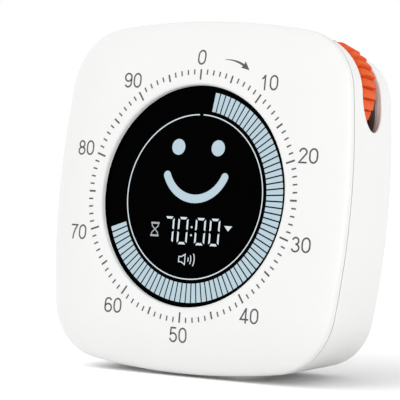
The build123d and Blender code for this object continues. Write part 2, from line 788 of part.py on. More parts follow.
# Flat cable from the main board, round the battery's upper edge, to the switch board
with BuildPart() as ribbon_cable:
    ribbon_run = switch_front - ribbon_gap - ribbon_thickness / 2
    ribbon_end = switch_board_v + switch_board_height / 2 - ribbon_land
    ribbon_plane = Plane(layer(0).origin, x_dir=FACE.y_dir, z_dir=FACE.x_dir)
    with BuildLine(ribbon_plane) as ribbon_path:
        FilletPolyline(
            (battery_top + ribbon_clear, -board_back),
            (battery_top + ribbon_clear, -ribbon_run),
            (ribbon_end, -ribbon_run),
            radius=ribbon_bend,
        )
    ribbon_start = Plane(ribbon_path.line @ 0, x_dir=FACE.x_dir, z_dir=ribbon_path.line % 0)
    with BuildSketch(ribbon_start):
        Rectangle(ribbon_width, ribbon_thickness)
    sweep(path=ribbon_path.line)

pieces = {
    "front_shell": front_shell,
    "rear_shell": rear_shell,
    "foot_pad": foot_pad,
    "window_tape": window_tape,
    "display_window": display_window,
    "lcd_panel": lcd_panel,
    "lcd_frame": lcd_frame,
    "backlight_panel": backlight_panel,
    "contact_strips": contact_strips,
    "backlight_leds": backlight_leds,
    "main_board": main_board,
    "board_screws": board_screws,
    "case_screws": case_screws,
    "switch_board_screws": switch_board_screws,
    "controller_chip": controller_chip,
    "encoder_body": encoder_body,
    "buzzer": buzzer,
    "battery_tape": battery_tape,
    "battery_cell": battery_cell,
    "battery_connector": battery_connector,
    "battery_leads": battery_leads,
    "usb_shell": usb_shell,
    "usb_tongue": usb_tongue,
    "thumbwheel": thumbwheel,
    "encoder_shaft": encoder_shaft,
    "retaining_ring": retaining_ring,
    "switch_board": switch_board,
    "slide_switch": slide_switch,
    "tact_switch": tact_switch,
    "volume_slider": volume_slider,
    "switch_nub": switch_nub,
    "mode_button": mode_button,
    "tact_plunger": tact_plunger,
    "ribbon_cable": ribbon_cable,
}
os.makedirs("parts", exist_ok=True)
for name, piece in pieces.items():
    piece.part.label = name
    export_step(piece.part, f"parts/{name}.step")
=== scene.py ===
# %% [markdown]
# # Dressing a pomodoro timer
# The timer is a leaning white case with a crowned face, a round black display and an orange thumbwheel
# that looks out of a slot in its upper right corner. Its solids come ready from the CAD model, in metres,
# each riding on the body it moves with. This lesson gives every solid its finish, prints the dial on the
# face, lights the display, makes a finer wheel, and sets the floor, the light and the camera.

# %% Load the solids
import json
from math import asin, cos, degrees, pi, radians, sin, tan

import bmesh
import bpy
from mathutils import Matrix, Vector

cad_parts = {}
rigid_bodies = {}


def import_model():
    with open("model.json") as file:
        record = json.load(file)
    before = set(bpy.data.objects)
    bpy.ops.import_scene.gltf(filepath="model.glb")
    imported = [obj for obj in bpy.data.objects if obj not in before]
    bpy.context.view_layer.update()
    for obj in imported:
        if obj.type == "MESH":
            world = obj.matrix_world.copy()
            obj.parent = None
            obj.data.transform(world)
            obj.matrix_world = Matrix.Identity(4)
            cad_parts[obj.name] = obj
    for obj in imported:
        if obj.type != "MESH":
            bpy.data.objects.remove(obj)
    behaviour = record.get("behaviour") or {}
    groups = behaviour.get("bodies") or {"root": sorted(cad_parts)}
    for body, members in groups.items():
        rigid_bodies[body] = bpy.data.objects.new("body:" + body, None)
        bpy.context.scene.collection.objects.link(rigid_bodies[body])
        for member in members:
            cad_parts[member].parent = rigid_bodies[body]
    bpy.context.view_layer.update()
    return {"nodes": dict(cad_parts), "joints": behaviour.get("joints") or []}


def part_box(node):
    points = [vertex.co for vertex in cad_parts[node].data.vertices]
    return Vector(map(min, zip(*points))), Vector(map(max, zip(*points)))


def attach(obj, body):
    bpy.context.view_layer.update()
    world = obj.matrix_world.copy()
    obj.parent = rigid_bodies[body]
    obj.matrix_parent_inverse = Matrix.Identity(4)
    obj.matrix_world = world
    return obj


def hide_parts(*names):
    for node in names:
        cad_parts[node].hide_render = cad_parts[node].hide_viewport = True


for leftover in list(bpy.data.objects):
    bpy.data.objects.remove(leftover)
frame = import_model()
nodes = frame["nodes"]
scene = bpy.context.scene
MM = 0.001

# %% [markdown]
# ## The face's own directions
# The face leans back by 8 degrees, so nothing on it is level. Everything on the face is drawn flat, in
# millimetres to the right of and above the dial's middle, and is then turned and moved onto it. The wheel's
# axle stands square to the face and gives the tilt, and the black window gives the middle.

# %% Find the face
window_middle_depth = 2.3
axle = next(joint for joint in frame["joints"] if joint["name"] == "thumbwheel_turn")
outward = Vector(axle["axis"]).normalized()
across = Vector((1, 0, 0))
upward = outward.cross(across)
window_low, window_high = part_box("display_window")
face_middle = (window_low + window_high) / 2 + outward * window_middle_depth * MM
face_turn = Matrix((across, upward, outward)).transposed()
print("face leans back by", round(degrees(asin(outward.z)), 2), "degrees")

# %% [markdown]
# ## Helpers for node trees
# Finishes and repeated shapes are both node trees. One function adds a node with its settings and joins or
# sets its inputs. Another turns a colour written as on a paint card, in sRGB, into the linear numbers that
# the renderer works with. Every finish starts from a shader and the place on the piece, and a third function
# makes that start. A mixing node has several inputs of one name, so its colours and its result go by number.

# %% Helpers
MIX_FIRST, MIX_SECOND, MIX_RESULT = 6, 7, 2


def colour(code):
    """An sRGB hex colour as linear red, green, blue and alpha."""
    channels = [int(code[place:place + 2], 16) / 255 for place in (1, 3, 5)]
    return [c / 12.92 if c <= 0.04045 else ((c + 0.055) / 1.055) ** 2.4 for c in channels] + [1.0]


def add(tree, kind, inputs=None, **settings):
    """Adds a node. An input is named or numbered, and gets a value, an output, or a node's first output."""
    made = tree.nodes.new(kind)
    for name, value in settings.items():
        setattr(made, name, value)
    for key, value in (inputs or {}).items():
        if isinstance(value, bpy.types.Node):
            value = value.outputs[0]
        if isinstance(value, bpy.types.NodeSocket):
            tree.links.new(value, made.inputs[key])
        else:
            made.inputs[key].default_value = value
    return made


def new_finish(name):
    """Starts a material, and gives it with its tree, its shader and the place on the piece in metres."""
    finish = bpy.data.materials.new(name)
    finish.use_nodes = True
    tree = finish.node_tree
    return finish, tree, tree.nodes["Principled BSDF"], add(tree, "ShaderNodeTexCoord").outputs["Object"]


print("the grey #808080 is", round(colour("#808080")[0], 3), "of full light")

# %% [markdown]
# ## Moulded plastics and rubber
# A moulding takes its surface from the steel of the mould. Most cases like this one are spark eroded to a
# fine grain, which scatters the gloss, and the colour drifts a little where the plastic flowed. A noise
# the size of the grain drives the bump and the roughness, and a slow one mixes two close shades. The real
# grain is about 0.05 mm. It is drawn at several times that, so that it can show at all.

# %% Moulded finishes
flow_size = 18.0
noise_detail = 3.0
grain_strength, grain_spread = 0.5, 0.06


def moulded(name, pale, deep, roughness, grain, relief, ior=1.53, specular=0.5):
    """A moulded surface: two close shades, a base roughness, and a grain with its size and relief in mm."""
    finish, tree, shader, place = new_finish(name)
    shader.inputs["IOR"].default_value = ior
    shader.inputs["Specular IOR Level"].default_value = specular
    flow = add(tree, "ShaderNodeTexNoise", {"Vector": place, "Scale": 1 / (flow_size * MM)})
    shade = add(tree, "ShaderNodeMix",
                {0: flow, MIX_FIRST: colour(pale), MIX_SECOND: colour(deep)}, data_type="RGBA")
    pits = add(tree, "ShaderNodeTexNoise",
               {"Vector": place, "Scale": 1 / (grain * MM), "Detail": noise_detail})
    gloss = add(tree, "ShaderNodeMapRange",
                {"Value": pits,
                 "To Min": roughness - grain_spread, "To Max": roughness + grain_spread})
    bump = add(tree, "ShaderNodeBump",
               {"Height": pits, "Strength": grain_strength, "Distance": relief * MM})
    tree.links.new(shade.outputs[MIX_RESULT], shader.inputs["Base Color"])
    tree.links.new(gloss.outputs[0], shader.inputs["Roughness"])
    tree.links.new(bump.outputs[0], shader.inputs["Normal"])
    return finish


# A soft, broad sheen and no mirror image, so the crown and the corners read by shade alone.
case_abs = moulded("Moulded ABS, satin white", "#F6F6F5", "#F4F4F3", 0.42, 0.35, 0.004)
# Full flat colour on every rib, with hardly a highlight, and dark only down in the grooves.
wheel_abs = moulded("Moulded ABS, orange", "#EE6730", "#E86029", 0.55, 0.35, 0.004, specular=0.14)
# A shade below the case, so the button and the slider stand out from it without a line.
control_abs = moulded("Moulded ABS, pale grey", "#D6D6D4", "#CECECC", 0.45, 0.3, 0.005)
# Dusty and without gloss, because rubber scatters nearly all the light that it sends back.
pad_silicone = moulded("Moulded silicone rubber, pale grey", "#E4E4E2", "#DCDCDA", 0.75, 0.5, 0.012, 1.41)
# Dull, with the warm grey that thin layers of clear and carbon-filled rubber make together.
strip_silicone = moulded("Layered contact rubber, pink grey", "#A88583", "#8F6F6D", 0.7, 0.3, 0.01, 1.41)
# Dark grey rather than black, with a dim sheen along the edges.
black_nylon = moulded("Moulded nylon, black", "#1C1C1D", "#161617", 0.5, 0.3, 0.006, 1.52)
# Warm and a little waxy beside the white of the case.
pale_nylon = moulded("Moulded nylon, ivory", "#E6E2D3", "#DDD8C6", 0.5, 0.3, 0.006, 1.52)
# An even white that spreads the display's light and shows next to no highlight.
frame_abs = moulded("Moulded ABS, matt white", "#E6E6E4", "#DEDEDC", 0.6, 0.3, 0.006)
# Charcoal with a sandy dullness, from the glass powder in the epoxy.
chip_epoxy = moulded("Moulded epoxy, charcoal", "#26262A", "#1E1E21", 0.65, 0.15, 0.01, 1.55)
# A strong, clear red with a smooth highlight along each lead.
lead_vinyl = moulded("Extruded vinyl, red", "#B3201B", "#A01A16", 0.4, 0.4, 0.004, 1.52)
# A black that swallows light in its open pits.
tape_foam = moulded("Closed-cell foam tape, black", "#202020", "#181818", 0.85, 0.25, 0.02, 1.49)
# White with a slack, slightly wavy gloss, as thin film has.
ribbon_film = moulded("Flat cable film, white", "#EDEDEA", "#E3E3DF", 0.35, 1.0, 0.006, 1.5)
print(len(bpy.data.materials), "materials with the moulded finishes")

# %% [markdown]
# ## Metals
# Screws and sockets are small zinc plated or stainless parts. Drawing and turning leave fine lines in one
# direction, so the noise is stretched along that direction. A metal has no colour of its own under its
# reflection, so its base colour is the reflection's tint. The lines too are drawn coarser than the real
# ones, which are some hundredths of a millimetre apart.

# %% Metal finishes
line_strength, line_relief, line_spread = 0.3, 0.003, 0.08


def metal(name, pale, deep, roughness, line, along):
    """A bare metal with lines of one width in mm, drawn out in the direction that along stretches."""
    finish, tree, shader, place = new_finish(name)
    shader.inputs["Metallic"].default_value = 1.0
    drawn = add(tree, "ShaderNodeMapping", {"Vector": place, "Scale": along})
    lines = add(tree, "ShaderNodeTexNoise",
                {"Vector": drawn, "Scale": 1 / (line * MM), "Detail": noise_detail})
    tint = add(tree, "ShaderNodeMix",
               {0: lines, MIX_FIRST: colour(pale), MIX_SECOND: colour(deep)}, data_type="RGBA")
    gloss = add(tree, "ShaderNodeMapRange",
                {"Value": lines,
                 "To Min": roughness - line_spread, "To Max": roughness + line_spread})
    scratch = add(tree, "ShaderNodeBump",
                  {"Height": lines, "Strength": line_strength, "Distance": line_relief * MM})
    tree.links.new(tint.outputs[MIX_RESULT], shader.inputs["Base Color"])
    tree.links.new(gloss.outputs[0], shader.inputs["Roughness"])
    tree.links.new(scratch.outputs[0], shader.inputs["Normal"])
    return finish


# Cool and cloudy, with a glint on the edge of each screw.
zinc = metal("Zinc plated steel", "#C9CBCC", "#B4B7BA", 0.32, 0.25, (1, 1, 1))
# Bright streaks that run along the way the sheet was drawn.
stainless = metal("Drawn stainless steel", "#D2D2D0", "#BEBEBC", 0.28, 0.2, (0.05, 1, 1))
# One sharp, bright line of light down the shaft.
ground_steel = metal("Ground steel", "#CFCFCE", "#BBBBBA", 0.22, 0.15, (1, 0.05, 1))
# Broad glints that wander with the soft dents of the pouch.
pouch_foil = metal("Laminated aluminium foil", "#DADCDD", "#C6C9CC", 0.3, 2.5, (1, 1, 1))
print(len(bpy.data.materials), "materials with the metals")

# %% [markdown]
# ## Boards, display layers and light
# The circuit boards carry a green lacquer over faint copper tracks. The display is a stack: a black tinted
# acrylic window in front, the glass cell, and a frosted light guide. What shows of it is the window, deep
# black and smooth, and the lit figures, which glow a cold white. A glow is an emission of strength 1, so it
# renders as the colour that is written.

# %% Board and display finishes
track_width, tracks_per_tile, track_line = 0.3, 20, 0.02
lacquer_roughness, sheet_spread, glow_patch = 0.35, 0.04, 1.2


def lacquered_board(name, bright, dull, line):
    """Solder lacquer in two shades, with the lines between copper tracks showing through."""
    finish, tree, shader, place = new_finish(name)
    shader.inputs["Roughness"].default_value = lacquer_roughness
    tracks = add(tree, "ShaderNodeTexBrick",
                 {"Vector": place, "Color1": colour(dull), "Color2": colour(bright), "Mortar": colour(line),
                  "Scale": 1 / (tracks_per_tile * track_width * MM), "Mortar Size": track_line})
    tree.links.new(tracks.outputs["Color"], shader.inputs["Base Color"])
    return finish


def glossy_sheet(name, pale, deep, roughness, ior, specular=0.5):
    """A smooth polished sheet with a faint drift of shade."""
    finish, tree, shader, place = new_finish(name)
    shader.inputs["IOR"].default_value = ior
    shader.inputs["Specular IOR Level"].default_value = specular
    drift = add(tree, "ShaderNodeTexNoise", {"Vector": place, "Scale": 1 / (flow_size * MM)})
    shade = add(tree, "ShaderNodeMix",
                {0: drift, MIX_FIRST: colour(pale), MIX_SECOND: colour(deep)}, data_type="RGBA")
    gloss = add(tree, "ShaderNodeMapRange",
                {"Value": drift, "To Min": roughness, "To Max": roughness + sheet_spread})
    tree.links.new(shade.outputs[MIX_RESULT], shader.inputs["Base Color"])
    tree.links.new(gloss.outputs[0], shader.inputs["Roughness"])
    return finish


def lit(name, pale, deep):
    """Lit figures, which glow in two close shades that change from patch to patch."""
    finish, tree, shader, place = new_finish(name)
    shader.inputs["Base Color"].default_value = colour("#050607")
    shader.inputs["Roughness"].default_value = 0.5
    shader.inputs["Specular IOR Level"].default_value = 0.0
    shader.inputs["Emission Strength"].default_value = 1.0
    patches = add(tree, "ShaderNodeTexNoise", {"Vector": place, "Scale": 1 / (glow_patch * MM)})
    glow = add(tree, "ShaderNodeMix",
               {0: patches, MIX_FIRST: colour(pale), MIX_SECOND: colour(deep)}, data_type="RGBA")
    tree.links.new(glow.outputs[MIX_RESULT], shader.inputs["Emission Color"])
    return finish


# Deep green, a shade lighter over the copper, under a clear gloss.
board_lacquer = lacquered_board("Circuit board, green lacquer", "#185F41", "#14553A", "#0E4630")
# A black without a bottom: the tint drinks the light, and an anti-glare coat keeps the room out of it.
window_acrylic = glossy_sheet("Tinted acrylic, black", "#010101", "#000000", 0.12, 1.49, specular=0.005)
# Smoky grey under a hard, clean highlight.
cell_glass = glossy_sheet("Laminated display glass, dark", "#3A3D42", "#33363B", 0.1, 1.52)
# A milky white that is equally bright all over.
guide_acrylic = glossy_sheet("Frosted acrylic, white", "#E8EDF2", "#DFE6EC", 0.6, 1.49)
# The pale yellow of the powder in the resin, as it looks unlit.
lamp_resin = glossy_sheet("Light-emitting diode resin", "#F0E6B4", "#E8DCA2", 0.4, 1.5)
# An even, cold light in the wide figures, a little blue from the lamps behind them.
glow_blue = lit("Lit display figure, pale blue", "#C2D7E1", "#BAD0DB")
# Thin figures, which look whiter than the wide ones.
glow_white = lit("Lit display figure, white", "#E0EAEF", "#D6E2E9")
# A sign at half strength, grey beside the others.
glow_dim = lit("Lit display figure, dim", "#B4BBBD", "#A6AEB0")
print(len(bpy.data.materials), "materials with the board and the display")

# %% [markdown]
# ## Painted shade inside the slot
# Little light reaches into the slot, and its inner walls are painted a dark grey there as shade; the shell
# itself is white inside too. The finish has to know what lies inside, so it works out how deep each spot lies
# under the
# outer skin: the outline is a square with bulging sides and round corners, and it shrinks steadily towards
# the back. The painted shade starts just under the lip, and takes in the belt of the wall that can be seen
# through the slot.

# %% Painted shade inside the slot
bulge_radius, corner_radius, corner_middle = 182.0, 15.0, 23.36
skin_start, skin_taper = 4.5, tan(radians(8))
skin_reach = corner_radius + skin_start * skin_taper + corner_middle ** 2 / bulge_radius
shade_from, shade_full = 1.1, 1.8
shade_middle, shade_half = -14.4, 5.6

# Outside the same satin white; in the slot a painted dark grey shade that lets the slot look deep.
slot_shade_abs = case_abs.copy()
slot_shade_abs.name = "Moulded ABS, satin white, sprayed dark grey inside"
tree = slot_shade_abs.node_tree
shader = tree.nodes["Principled BSDF"]
skin_shade = shader.inputs["Base Color"].links[0].from_socket
spot = add(tree, "ShaderNodeMapping",
           {"Vector": add(tree, "ShaderNodeTexCoord").outputs["Object"], "Location": face_middle,
            "Rotation": face_turn.to_euler(), "Scale": (MM, MM, MM)}, vector_type="TEXTURE")
height = add(tree, "ShaderNodeSeparateXYZ", {0: spot}).outputs["Z"]
flat = add(tree, "ShaderNodeVectorMath", {0: spot, 1: (1, 1, 0)}, operation="MULTIPLY")
quarter = add(tree, "ShaderNodeVectorMath", {0: flat}, operation="ABSOLUTE")
straight = add(tree, "ShaderNodeVectorMath", {0: quarter, 1: [corner_middle] * 3}, operation="MINIMUM")
rounding = add(tree, "ShaderNodeVectorMath", {0: quarter, 1: straight}, operation="DISTANCE")
bulging = add(tree, "ShaderNodeVectorMath", {0: straight, 1: straight}, operation="DOT_PRODUCT")
outline = add(tree, "ShaderNodeMath", {0: height, 1: skin_taper, 2: skin_reach}, operation="MULTIPLY_ADD")
reached = add(tree, "ShaderNodeMath",
              {0: bulging.outputs["Value"], 1: 0.5 / bulge_radius, 2: rounding.outputs["Value"]},
              operation="MULTIPLY_ADD")
under = add(tree, "ShaderNodeMath", {0: outline, 1: reached}, operation="SUBTRACT")
# Painted shade: the dark grey fades in between these two depths under the skin, only in the belt round the
# slot.
painted_shade = add(tree, "ShaderNodeMapRange", {"Value": under, "From Min": shade_from, "From Max": shade_full})
within = add(tree, "ShaderNodeMath", {0: height, 1: shade_middle, 2: shade_half}, operation="COMPARE")
share = add(tree, "ShaderNodeMath", {0: painted_shade, 1: within}, operation="MULTIPLY")
# Mixes the painted dark grey shade into the case's own colour.
shade = add(tree, "ShaderNodeMix",
            {0: share, MIX_FIRST: skin_shade, MIX_SECOND: colour("#606264")}, data_type="RGBA")
tree.links.new(shade.outputs[MIX_RESULT], shader.inputs["Base Color"])
print("coat from", shade_from, "mm under the skin")

# %% [markdown]
# ## Finishes on the solids
# Every solid keeps its own mesh, with its rounded edges already smooth, and only takes a finish.

# %% Give each solid its finish
finishes = {
    case_abs: ("front_shell",),
    # The rear shell's finish has painted shade in its slot.
    slot_shade_abs: ("rear_shell",),
    control_abs: ("volume_slider", "mode_button"),
    wheel_abs: ("thumbwheel",),
    pad_silicone: ("foot_pad",),
    window_acrylic: ("display_window",),
    cell_glass: ("lcd_panel",),
    guide_acrylic: ("backlight_panel",),
    lamp_resin: ("backlight_leds",),
    strip_silicone: ("contact_strips",),
    frame_abs: ("lcd_frame",),
    tape_foam: ("window_tape", "battery_tape"),
    board_lacquer: ("main_board", "switch_board"),
    chip_epoxy: ("controller_chip",),
    black_nylon: ("encoder_body", "buzzer", "usb_tongue", "switch_nub", "tact_plunger"),
    pale_nylon: ("battery_connector",),
    lead_vinyl: ("battery_leads",),
    ribbon_film: ("ribbon_cable",),
    pouch_foil: ("battery_cell",),
    zinc: ("board_screws", "case_screws", "switch_board_screws", "slide_switch", "tact_switch"),
    stainless: ("usb_shell",),
    ground_steel: ("encoder_shaft", "retaining_ring"),
}
for finish, names in finishes.items():
    for name in names:
        nodes[name].material_slots[0].material = finish
print(sum(len(names) for names in finishes.values()), "solids have a finish")

# %% [markdown]
# ## Growing shapes
# A shape that repeats, or that has to follow a surface, is grown by a geometry tree. Each tree has named
# inputs for its sizes, and ends by making its copies real and giving them a finish. What it grows is then
# kept as one plain mesh.

# %% Helpers for geometry trees
def new_tree(name, inputs):
    """Starts a geometry tree with named inputs, each of a kind, and gives it with what its user hands in."""
    tree = bpy.data.node_groups.new(name, "GeometryNodeTree")
    for title, kind in inputs.items():
        tree.interface.new_socket(title, in_out="INPUT", socket_type="NodeSocket" + kind)
    tree.interface.new_socket("Shape", in_out="OUTPUT", socket_type="NodeSocketGeometry")
    return tree, add(tree, "NodeGroupInput").outputs


def end_tree(tree, shape, finish):
    """Ends a geometry tree: makes its copies real, gives them a finish and hands them out."""
    whole = add(tree, "GeometryNodeRealizeInstances", {"Geometry": shape})
    dressed = add(tree, "GeometryNodeSetMaterial", {"Geometry": whole, "Material": finish})
    add(tree, "NodeGroupOutput", {"Shape": dressed})


def on_circle(tree, angle, radius):
    """Adds the nodes for a place on a circle, at an angle clockwise from straight up."""
    side = add(tree, "ShaderNodeMath", {0: angle}, operation="SINE")
    height = add(tree, "ShaderNodeMath", {0: angle}, operation="COSINE")
    direction = add(tree, "ShaderNodeCombineXYZ", {"X": side, "Y": height})
    return add(tree, "ShaderNodeVectorMath", {0: direction, "Scale": radius}, operation="SCALE")


def grow(name, tree, values, drawing=None):
    """Runs a geometry tree with these inputs and leaves its result as one plain mesh object."""
    piece = bpy.data.objects.new(name, drawing or bpy.data.meshes.new(name))
    scene.collection.objects.link(piece)
    growth = piece.modifiers.new(tree.name, "NODES")
    growth.node_group = tree
    for socket in tree.interface.items_tree:
        if socket.in_out == "INPUT" and socket.name in values:
            growth[socket.identifier] = values[socket.name]
    evaluated = piece.evaluated_get(bpy.context.evaluated_depsgraph_get())
    plain = bpy.data.meshes.new_from_object(evaluated)
    piece.modifiers.remove(growth)
    piece.data = plain
    return piece


def flat_drawing(tree, values):
    """Runs a geometry tree and keeps only the flat mesh that it makes."""
    piece = grow(tree.name, tree, values)
    drawing = piece.data
    bpy.data.objects.remove(piece)
    return drawing


# %% [markdown]
# ## Film on a surface
# The dial is pad printed: a soft stamp presses a flat picture onto the crowned face, so the ink follows
# the crown. The display's figures lie flat on the window. Both are thin films, and one geometry tree lays
# either of them: it carries a flat drawing over to the face, splits it evenly finer so that it can follow a
# curve, drops each point onto the surface along the face's direction, and gives the film its thickness,
# closed on all sides.

# %% The film tree
film_reach, film_weld = 6.0, 0.002
film_tree, given = new_tree("Film on a surface", {
    "Drawing": "Geometry", "Surface": "Object", "Middle": "Vector", "Tilt": "Vector", "Outward": "Vector",
    "Fineness": "Int", "Thickness": "Float", "Reach": "Float", "Finish": "Material",
})
carried = add(film_tree, "GeometryNodeTransform",
              {"Geometry": given["Drawing"], "Translation": given["Middle"], "Rotation": given["Tilt"]})
fine = add(film_tree, "GeometryNodeSubdivideMesh", {"Mesh": carried, "Level": given["Fineness"]})
spot = add(film_tree, "GeometryNodeInputPosition")
surface = add(film_tree, "GeometryNodeObjectInfo", {"Object": given["Surface"]})
above = add(film_tree, "ShaderNodeVectorMath",
            {0: given["Outward"], "Scale": given["Reach"]}, operation="SCALE")
start = add(film_tree, "ShaderNodeVectorMath", {0: spot, 1: above}, operation="ADD")
inward = add(film_tree, "ShaderNodeVectorMath", {0: given["Outward"], "Scale": -1.0}, operation="SCALE")
span = add(film_tree, "ShaderNodeMath", {0: given["Reach"], 1: 2.0}, operation="MULTIPLY")
drop = add(film_tree, "GeometryNodeRaycast",
           {"Target Geometry": surface.outputs["Geometry"], "Source Position": start, "Ray Direction": inward,
            "Ray Length": span})
laid = add(film_tree, "GeometryNodeSetPosition",
           {"Geometry": fine, "Selection": drop.outputs["Is Hit"], "Position": drop.outputs["Hit Position"]})
raised = add(film_tree, "GeometryNodeExtrudeMesh",
             {"Mesh": laid, "Offset": given["Outward"], "Offset Scale": given["Thickness"],
              "Individual": False})
under = add(film_tree, "GeometryNodeFlipFaces", {"Mesh": laid})
both = add(film_tree, "GeometryNodeJoinGeometry")
film_tree.links.new(raised.outputs["Mesh"], both.inputs[0])
film_tree.links.new(under.outputs[0], both.inputs[0])
closed = add(film_tree, "GeometryNodeMergeByDistance", {"Geometry": both, "Distance": film_weld * MM})
end_tree(film_tree, closed, given["Finish"])


def lay_film(name, drawing, node, thickness, finish, shift, fineness=0):
    """Lays a flat drawing as a film on a solid of the casing, shifted across and up in mm."""
    middle = face_middle + (across * shift[0] + upward * shift[1]) * MM
    piece = grow(name, film_tree, {
        "Surface": nodes[node], "Middle": middle, "Tilt": face_turn.to_euler(), "Outward": outward,
        "Fineness": fineness, "Thickness": thickness * MM, "Reach": film_reach * MM, "Finish": finish,
    }, drawing)
    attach(piece, "casing")
    print(name, len(piece.data.polygons), "faces")


print("film tree of", len(film_tree.nodes), "nodes")

# %% [markdown]
# ## The dial's ink
# The ink is a matt grey, one layer of about 0.02 mm. Pad printing leaves tiny pinholes, which a fine noise in
# the bump and the gloss stands for.

# %% Ink
ink_thickness, dial_fineness = 0.025, 1
# A flat, dry grey with a soft edge to its gloss, never quite black.
dial_ink = moulded("Pad printed ink, grey", "#535354", "#4C4C4D", 0.6, 0.12, 0.003, 1.5)


def print_ink(name, drawing, shift=(0.0, 0.0)):
    """Prints a flat drawing on the face, shifted across and up in mm."""
    lay_film(name, drawing, "front_shell", ink_thickness, dial_ink, shift, dial_fineness)


print("ink film", ink_thickness, "mm")

# %% [markdown]
# ## Flat drawings by outline
# Figures, the arrow and the display's signs are simple outlines: filled shapes, and bands of a steady or
# growing width along a line, as a pen draws them. These functions draw them into one flat mesh, in
# millimetres on the face.

# %% Drawing helpers
mitre_limit = 0.5


def fill(sketch, outline):
    """Fills one outline, given as points in mm, with triangles that look outwards."""
    face = sketch.faces.new([sketch.verts.new((x * MM, y * MM, 0)) for x, y in outline])
    face.normal_update()
    if face.normal.z < 0:
        face.normal_flip()
    bmesh.ops.triangulate(sketch, faces=[face])


def arc(x, y, wide, high, start, end, steps):
    """Points on an ellipse's arc, by angles in degrees clockwise from straight up."""
    turns = [radians(start + (end - start) * step / steps) for step in range(steps + 1)]
    return [(x + wide * sin(turn), y + high * cos(turn)) for turn in turns]


def disc(sketch, x, y, radius, step):
    """Fills a circle that has a corner every so many degrees."""
    fill(sketch, arc(x, y, radius, radius, 0, 360 - step, 360 // step - 1))


def band(sketch, line, width, end_width=None, ring=False):
    """Draws a band along a line of points, with its width at the start and at the end."""
    last = len(line) - 1
    sides = []
    for place, (x, y) in enumerate(line):
        before = line[place - 1] if place or ring else line[0]
        after = line[(place + 1) % len(line)] if place < last or ring else line[last]
        into = Vector((x - before[0], y - before[1]))
        out = Vector((after[0] - x, after[1] - y))
        into = into.normalized() if into.length else out.normalized()
        out = out.normalized() if out.length else into
        mitre = (into + out).normalized()
        half = (width + ((end_width or width) - width) * (place / last)) / 2
        normal = Vector((-mitre.y, mitre.x)) * (half / max(mitre.dot(out), mitre_limit))
        sides.append([sketch.verts.new(((x + side * normal.x) * MM, (y + side * normal.y) * MM, 0))
                      for side in (1, -1)])
    pairs = list(zip(sides, sides[1:])) + ([(sides[-1], sides[0])] if ring else [])
    for (left, right), (next_left, next_right) in pairs:
        sketch.faces.new([left, right, next_right, next_left])


def drawing_from(sketch, name):
    """Closes a sketch and gives it as a flat mesh."""
    drawing = bpy.data.meshes.new(name)
    sketch.to_mesh(drawing)
    sketch.free()
    return drawing


print("a quarter arc in two steps:", [(round(x, 2), round(y, 2)) for x, y in arc(0, 0, 1, 1, 0, 90, 2)])

# %% [markdown]
# ## Ticks
# A hundred ticks run round the dial, one for each minute. Every fifth is longer and bolder, every tenth the
# longest. They differ only by their place in the row, so a geometry tree sets one bar on each of a hundred
# points, turns it to the middle, and picks its length and width by what is left when its number is divided
# by five and by ten.

# %% The tick tree
bar_corners = 4
tick_count = 100
tick_sizes = {"Ring": 28.68, "Minor length": 1.17, "Minor width": 0.345, "Fifth length": 1.73,
              "Fifth width": 0.43, "Tenth length": 2.36, "Tenth width": 0.42}
tick_tree, given = new_tree("Dial ticks", {
    "Count": "Int", **{size: "Float" for size in tick_sizes}, "Finish": "Material",
})
number = add(tick_tree, "GeometryNodeInputIndex")
step = add(tick_tree, "ShaderNodeMath", {0: 2 * pi, 1: given["Count"]}, operation="DIVIDE")
angle = add(tick_tree, "ShaderNodeMath", {0: number, 1: step}, operation="MULTIPLY")
points = add(tick_tree, "GeometryNodePoints",
             {"Count": given["Count"], "Position": on_circle(tick_tree, angle, given["Ring"])})
bar_size = {"length": given["Minor length"], "width": given["Minor width"]}
for name, gap in (("Fifth", 5.0), ("Tenth", 10.0)):
    left_over = add(tick_tree, "ShaderNodeMath", {0: number, 1: gap}, operation="MODULO")
    picked = add(tick_tree, "ShaderNodeMath", {0: left_over, 1: 0.5}, operation="LESS_THAN")
    for part in bar_size:
        choice = {"Switch": picked, "False": bar_size[part], "True": given[name + " " + part]}
        bar_size[part] = add(tick_tree, "GeometryNodeSwitch", choice, input_type="FLOAT")
bar = add(tick_tree, "GeometryNodeMeshGrid",
          {"Size X": 1.0, "Size Y": 1.0, "Vertices X": 2, "Vertices Y": bar_corners})
hung = add(tick_tree, "GeometryNodeTransform", {"Geometry": bar, "Translation": (0, -0.5, 0)})
turned = add(tick_tree, "ShaderNodeMath", {0: angle, 1: -1.0}, operation="MULTIPLY")
spin = add(tick_tree, "ShaderNodeCombineXYZ", {"Z": turned})
scale = add(tick_tree, "ShaderNodeCombineXYZ", {"X": bar_size["width"], "Y": bar_size["length"], "Z": 1.0})
row = add(tick_tree, "GeometryNodeInstanceOnPoints",
          {"Points": points, "Instance": hung, "Rotation": spin, "Scale": scale})
end_tree(tick_tree, row, given["Finish"])
print("tick tree of", len(tick_tree.nodes), "nodes")

# %% Ticks
print_ink("dial_ticks", flat_drawing(tick_tree, {
    "Count": tick_count, **{size: length * MM for size, length in tick_sizes.items()}, "Finish": dial_ink,
}))

# %% [markdown]
# ## Numbers
# The numbers stand upright, ten minutes apart, in a light sans serif. Such a figure is a pen line of one
# width, so each is written as a few strokes in a box one unit high: arcs of ellipses and straight runs. A
# stroke that comes back to its start is a ring. The nine is the six turned over. Numbers at the sides stand
# a little further out than those at the top and bottom, and four numbers sit slightly off that line.

